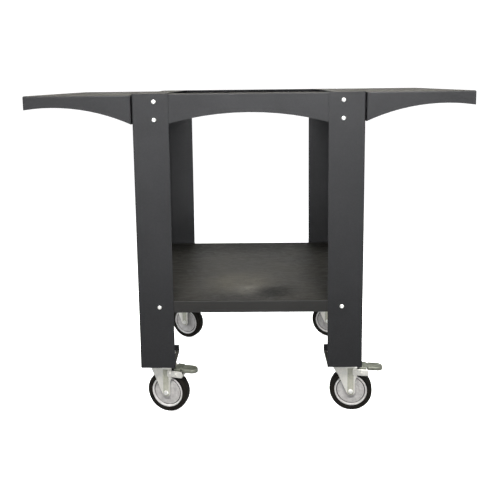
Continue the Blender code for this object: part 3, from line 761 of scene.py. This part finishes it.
def saddle_bmesh():
    """The bent sheet over the bracket, whose two arms hang on the pedal's pin."""
    outer, bend = 0.0205, 0.0035
    back, front = PIVOT[0] - PIVOT_EYE, 0.0695
    columns, steps = 12, 12
    top = PEDAL_TOP - bend
    heights = [PIVOT[1] - PIVOT_EYE * math.cos(math.radians(a)) for a in range(8, 90, 12)]
    heights += [PIVOT[1] + (top - PIVOT[1]) * i / steps for i in range(steps + 1)]

    def row(y, z, low, high):
        return [(low + (high - low) * i / columns, y, z) for i in range(columns + 1)]

    def arm_row(side, z):
        if z >= PIVOT[1]:
            return row(side * outer, z, back, front)
        reach = math.sqrt(max(0.0, PIVOT_EYE ** 2 - (PIVOT[1] - z) ** 2))
        nose = blend_line([(0.1160, 0.0675), (0.1172, 0.0690), (0.1185, front)], z)
        return row(side * outer, z, PIVOT[0] - reach, max(PIVOT[0] + reach, min(nose, front)))

    def crown_row(y, z):
        return row(y, z, back, front)

    sheet = loft(channel_rows(arm_row, crown_row, heights, outer, PEDAL_TOP, bend, 5, 8))
    outward(sheet, (0.060, 0.0, 0.128))
    return thickened(sheet, 0.0025)


def pedal_bmesh():
    """The tread, its saddle, the toe plate under it, the neck between them and a stud."""
    toe = slab([rounded_rectangle((-0.0185, 0.1151), (0.0185, PEDAL_TOP - 0.0010), 0.0010)], 0.0023, 0.0004)
    toe_place = shift(0.0670, 0.0, 0.0) @ turn(90, "Z") @ turn(90, "X")
    neck = slab([rounded_rectangle((0.0600, -0.0140), (0.0790, 0.0140), 0.0020)], 0.0022, 0.0004)
    stud = lathe([(0.0, 0.0013), (0.0022, 0.0011), (0.0034, 0.0)], 20)
    return merged(
        (tread_bmesh(), HERE), (saddle_bmesh(), HERE), (toe, toe_place),
        (neck, shift(0.0, 0.0, PEDAL_TOP - 0.0034)), (stud, shift(0.0860, 0.0, PEDAL_TOP - 0.0016)),
    )


def plate_bmesh():
    """The top plate with its four slots, and the cup over the balls."""
    half = 0.045
    slot_radius, slot_reach = 0.0044, 0.003
    slot = arc((-slot_reach, 0.0), slot_radius, 90, 270, 8) + arc((slot_reach, 0.0), slot_radius, -90, 90, 8)
    outlines = [rounded_rectangle((-half, -half), (half, half), 0.008)]
    for x in (-1, 1):
        outlines += [moved(slot, x * PLATE_HOLE, y * PLATE_HOLE, 45 * x * y) for y in (-1, 1)]
    plate = slab(outlines, PLATE_TOP - PLATE_BOTTOM, 0.0005)
    lip = 0.1435
    cup = lathe([
        (0.0062, 0.1535), (0.0270, 0.1535), (0.0284, 0.1522), (0.0294, 0.1508), (0.0299, 0.1490),
        (0.0300, 0.1450), (0.0299, lip + 0.0003), (0.0294, lip), (0.0280, lip), (0.0275, lip + 0.0004),
        (0.0272, 0.1472), (0.0255, 0.1477), (0.0062, 0.1477),
    ], 72, closed=True)
    return merged((plate, shift(0.0, 0.0, PLATE_BOTTOM)), (cup, HERE))


def kingpin_bmesh():
    """The swivel's rivet: its shank down from the plate's top, and its domed head under the fork's crown."""
    top = PLATE_TOP
    head = FORK_TOP - FORK_SHEET - GAP
    return lathe([
        (0.0, top), (0.0055, top), (0.0060, top - 0.0005), (0.0060, head), (0.0108, head),
        (0.0110, head - 0.0006), (0.0110, head - 0.0014), (0.0100, head - 0.0024),
        (0.0080, head - 0.0040), (0.0050, head - 0.0049), (0.0, head - 0.0050),
    ], 48)


def balls_bmesh():
    """The balls of the swivel race, side by side."""
    count = 24
    first = shift(0.0205, 0.0, BALLS_Z)
    pieces = []
    for i in range(count):
        ball = bmesh.new()
        bmesh.ops.create_icosphere(ball, subdivisions=2, radius=0.0021)
        pieces.append((ball, turn(360 * i / count, "Z") @ first))
    return merged(*pieces)


def mounting_bolt_bmesh():
    """A hexagon bolt up through the castor's plate and the foot plate, its nut on top."""
    head = prism(6, 0.0068, 0.0, 0.0034, 0.0006)
    nut = prism(6, 0.0065, 0.0, 0.0052, 0.0007)
    end = lathe([(0.0040, 0.0), (0.0040, 0.0150), (0.0033, 0.0158), (0.0, 0.0158)], 20)
    return merged(
        (head, shift(0.0, 0.0, PLATE_BOTTOM - 0.0043)),
        (washer(0.0042, 0.0078, 0.0008), shift(0.0, 0.0, PLATE_BOTTOM - 0.0009)),
        (washer(0.0042, 0.0078, 0.0012), shift(0.0, 0.0, FOOT_TOP + 0.0001)),
        (nut, shift(0.0, 0.0, FOOT_TOP + 0.0012)),
        (end, shift(0.0, 0.0, PLATE_BOTTOM - 0.0010)),
    )


# Fixings of the sheets

def button_head_bmesh(shank_length=0.0116):
    """A low domed head with a hexagon socket, and its shank; the head faces +z from z 0."""
    radius, height = 0.0060, 0.0034
    head = lathe([
        (radius - 0.0003, 0.0), (radius, 0.0004), (radius - 0.0002, 0.0012), (radius - 0.0011, 0.0023),
        (radius - 0.0024, 0.0031), (0.0026, height), (0.0023, height - 0.0002), (0.0021, height - 0.0019),
        (0.0, height - 0.0020),
    ], 36)
    tip = -shank_length
    shank = lathe([(0.0029, 0.0005), (0.0029, tip + 0.0006), (0.0024, tip), (0.0, tip)], 24)
    return merged((head, HERE), (shank, HERE))


def nut_bmesh():
    """A washer and a nut that sit on a sheet at z 0 and face +z."""
    washer_height = 0.0009
    nut = prism(6, 0.0056, 0.0, 0.0044, 0.0006)
    return merged((washer(0.0031, 0.0065, washer_height), HERE), (nut, shift(0.0, 0.0, washer_height)))


def place(name, bm, matrix, body, materials, replaced=()):
    """Makes a piece that rides on a body and the CAD nodes it stands for."""
    mesh = finished_mesh(bm, name)
    mesh.transform(matrix)
    obj = new_object(name, mesh, *materials)
    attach(obj, body)
    for node in replaced:
        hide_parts(node)


def build_castor(name, side, end, angle, braked):
    prefix = "castor_" + name
    swivel, wheel, pedal = prefix + "_swivel", prefix + "_wheel", prefix + "_pedal"
    spot = shift(side * CASTOR_X, end * CASTOR_Y, 0.0)
    swung = spot @ turn(-angle, "Z")
    axle = swung @ shift(TRAIL, 0.0, AXLE_Z) @ turn(-90, "X")
    place(prefix + "_plate_detail", plate_bmesh(), spot, "stand", [zinc], [prefix + "_plate"])
    place(prefix + "_kingpin_detail", kingpin_bmesh(), spot, "stand", [zinc], [prefix + "_kingpin"])
    for number, (x, y) in enumerate(((-1, -1), (1, -1), (-1, 1), (1, 1)), 1):
        hole = spot @ shift(x * PLATE_HOLE, y * PLATE_HOLE, 0.0)
        place(f"{prefix}_plate_bolt_{number}", mounting_bolt_bmesh(), hole, "stand", [bright_zinc])
    place(prefix + "_balls", balls_bmesh(), swung, swivel, [bright_zinc], [prefix + "_ball_ring"])
    place(prefix + "_fork_detail", fork_bmesh(), swung, swivel,
          [zinc, zinc_panel_painted_shade], [prefix + "_fork"])
    place(prefix + "_axle_detail", axle_bmesh(), swung, swivel, [bright_zinc], [prefix + "_axle"])
    place(prefix + "_wheel_centre_detail", wheel_centre_bmesh(), axle, wheel,
          [wheel_grey, wheel_ring_painted_highlight, wheel_groove_painted_shade], [prefix + "_wheel_centre"])
    place(prefix + "_tyre_detail", tyre_bmesh(), axle, wheel, [rubber], [prefix + "_tyre"])
    if braked:
        place(prefix + "_bracket_detail", bracket_bmesh(), swung, swivel, [zinc],
              [prefix + "_brake_bracket"])
        place(prefix + "_pedal_detail", pedal_bmesh(), swung, pedal,
              [pedal_steel], [prefix + "_brake_pedal"])


def build_leg_bolts(name, side, end):
    """The leg's face bolts, which the CAD has, and the bolts that hold its side shelf."""
    face_turn = turn(-90 * end, "X")
    back_turn = turn(90 * end, "X")
    inner_x = side * (LEG_X - NUT_DEPTH)
    inner_y = end * (LEG_Y - NUT_DEPTH)
    for level in ("top", "middle", "shelf"):
        label = f"bolt_{name}_{level}"
        x, z = middle(label, "x"), middle(label, "z")
        head_spin, nut_spin = 17.0 * z * 1000 % 60, 31.0 * z * 1000 % 60
        head_place = shift(x, end * (LEG_Y + GAP), z) @ face_turn @ turn(head_spin, "Z")
        nut_place = shift(x, inner_y, z) @ back_turn @ turn(nut_spin, "Z")
        place(label + "_detail", button_head_bmesh(), head_place, "stand", [bright_zinc], [label])
        place(label + "_nut", nut_bmesh(), nut_place, "stand", [bright_zinc])
    for level, z in SIDE_BOLT_LEVELS.items():
        label = f"side_shelf_bolt_{name}_{level}"
        y = end * CASTOR_Y
        head_place = shift(side * (SIDE_WALL_X + SHEET + GAP), y, z) @ turn(90 * side, "Y")
        nut_place = shift(inner_x, y, z) @ turn(-90 * side, "Y")
        place(label, button_head_bmesh(0.0150), head_place, "stand", [bright_zinc])
        place(label + "_nut", nut_bmesh(), nut_place, "stand", [bright_zinc])


for castor in CASTORS:
    build_castor(*castor)
for leg_name, leg_side, leg_end, _angle, _braked in CASTORS:
    build_leg_bolts(leg_name, leg_side, leg_end)

PAINTED = ("leg_", "foot_plate_", "side_shelf_", "side_rail_")
for node_name, node in nodes.items():
    if node_name.startswith(PAINTED) or node_name.endswith("_apron"):
        node.data.materials[0] = powder_coat
    elif node_name == "lower_shelf":
        node.data.materials[0] = shelf_coat


# Floor, light and camera

FLOOR_RADIUS = 14.0
FLOOR_GLOW = 0.90
WHITE = (1.0, 1.0, 1.0, 1.0)
BACKDROP_STRENGTH = 1.1             # just past white
# How bright the world is as a light, from straight down, 0, by the horizon, 0.5, to straight up, 1
WORLD_LEVELS = ((0.0, 0.30), (0.5, 0.46), (0.62, 0.18), (1.0, 0.18))
WORLD_TINT = (0.97, 0.985, 1.0)
# name, place, target, size, power, spread in degrees, seen in gloss, colour
LIGHTS = (
    ("front_key", (0.15, -1.5, 2.00), (0.08, -0.30, 0.95), (1.9, 0.5), 21.0, 60, True, (1.0, 0.985, 0.96)),
    ("front_level", (0.0, -2.6, 1.10), (0.0, 0.0, 0.93), (2.2, 0.3), 3.0, 40, True, (0.98, 0.99, 1.0)),
    ("front_low", (0.10, -2.4, 0.20), (0.0, -0.30, 0.10), (2.2, 0.5), 2.6, 60, True, (1.0, 0.99, 0.97)),
    ("left_low", (-1.7, -1.8, 0.45), (-0.10, -0.30, 0.10), (0.8, 1.2), 0.7, 100, True, (1.0, 1.0, 1.0)),
    ("left_fill", (-2.6, 0.2, 1.2), (0.0, 0.1, 0.5), (1.2, 1.2), 18.0, 90, False, (0.97, 0.985, 1.0)),
    ("right_fill", (2.6, 0.2, 1.2), (0.0, 0.1, 0.5), (1.2, 1.2), 18.0, 90, False, (1.0, 0.99, 0.97)),
    ("rear_high", (0.0, 1.60, 2.20), (0.0, 0.20, 0.30), (2.4, 0.8), 2.5, 80, False, (0.97, 0.985, 1.0)),
    ("rear_key", (0.0, 1.70, 1.70), (0.0, 0.30, 0.75), (2.4, 0.6), 17.0, 60, False, (0.97, 0.985, 1.0)),
)
CAMERA_PLACE = (0.0175, -2.0488, 0.9715)
CAMERA_HEADING, CAMERA_DIP, CAMERA_ROLL = 0.788, 7.749, -0.644      # degrees
CAMERA_LENS = 45.25
CAMERA_SHIFT = (0.0064, -0.1668)


def build_floor():
    """A pale disc. It keeps its light to itself, so the undersides stay as dark as in a studio."""
    bm = bmesh.new()
    bmesh.ops.create_circle(bm, cap_ends=True, segments=96, radius=FLOOR_RADIUS)
    mesh = bpy.data.meshes.new("floor")
    bm.to_mesh(mesh)
    bm.free()
    s = Shader("floor_pale")
    s.colour(s.ramp(s.noise(0.8, 2.0), [(0.2, (0.93, 0.93, 0.93)), (0.8, (0.95, 0.95, 0.95))]))
    s.set(Roughness=0.9, Specular_IOR_Level=0.1)
    s.set(Emission_Color=WHITE, Emission_Strength=FLOOR_GLOW)
    floor = new_object("floor", mesh, s.material)
    floor.visible_diffuse = False
    floor.visible_glossy = False


def build_world():
    """White where the camera sees it; as a light it is brightest at the horizon."""
    world = bpy.data.worlds.new("studio")
    bpy.context.scene.world = world
    world.use_nodes = True
    tree = world.node_tree
    add, link = tree.nodes.new, tree.links.new
    lit = tree.nodes["Background"]
    position = add("ShaderNodeTexCoord")
    parts = add("ShaderNodeSeparateXYZ")
    height = add("ShaderNodeMapRange")
    height.inputs["From Min"].default_value = -1.0
    ramp = add("ShaderNodeValToRGB")
    while len(ramp.color_ramp.elements) < len(WORLD_LEVELS):
        ramp.color_ramp.elements.new(0.5)
    for element, (spot, level) in zip(ramp.color_ramp.elements, WORLD_LEVELS):
        element.position = spot
        element.color = (*(level * tint for tint in WORLD_TINT), 1.0)
    seen = add("ShaderNodeBackground")
    seen.inputs["Color"].default_value = WHITE
    seen.inputs["Strength"].default_value = BACKDROP_STRENGTH
    mix = add("ShaderNodeMixShader")
    path = add("ShaderNodeLightPath")
    link(position.outputs["Generated"], parts.inputs[0])
    link(parts.outputs["Z"], height.inputs["Value"])
    link(height.outputs[0], ramp.inputs["Fac"])
    link(ramp.outputs["Color"], lit.inputs["Color"])
    link(path.outputs["Is Camera Ray"], mix.inputs["Fac"])
    link(lit.outputs[0], mix.inputs[1])
    link(seen.outputs[0], mix.inputs[2])
    link(mix.outputs[0], tree.nodes["World Output"].inputs["Surface"])


def area_light(name, location, target, size, power, spread, glossy, colour):
    data = bpy.data.lights.new(name, "AREA")
    data.shape = "RECTANGLE"
    data.size, data.size_y = size
    data.energy = power
    data.spread = math.radians(spread)
    data.color = colour
    light = bpy.data.objects.new(name, data)
    bpy.context.scene.collection.objects.link(light)
    light.location = location
    light.rotation_euler = (Vector(target) - Vector(location)).to_track_quat("-Z", "Y").to_euler()
    light.visible_camera = False
    light.visible_glossy = glossy


def build_camera():
    data = bpy.data.cameras.new("camera")
    camera = bpy.data.objects.new("camera", data)
    bpy.context.scene.collection.objects.link(camera)
    camera.location = CAMERA_PLACE
    aim = turn(CAMERA_HEADING, "Z") @ turn(90 - CAMERA_DIP, "X") @ turn(CAMERA_ROLL, "Z")
    camera.rotation_euler = aim.to_euler()
    data.lens = CAMERA_LENS
    data.shift_x, data.shift_y = CAMERA_SHIFT
    bpy.context.scene.camera = camera


build_floor()
build_world()
for light_values in LIGHTS:
    area_light(*light_values)
build_camera()
view = bpy.context.scene.view_settings
view.view_transform = "Standard"
view.look = "None"
bpy.context.view_layer.update()
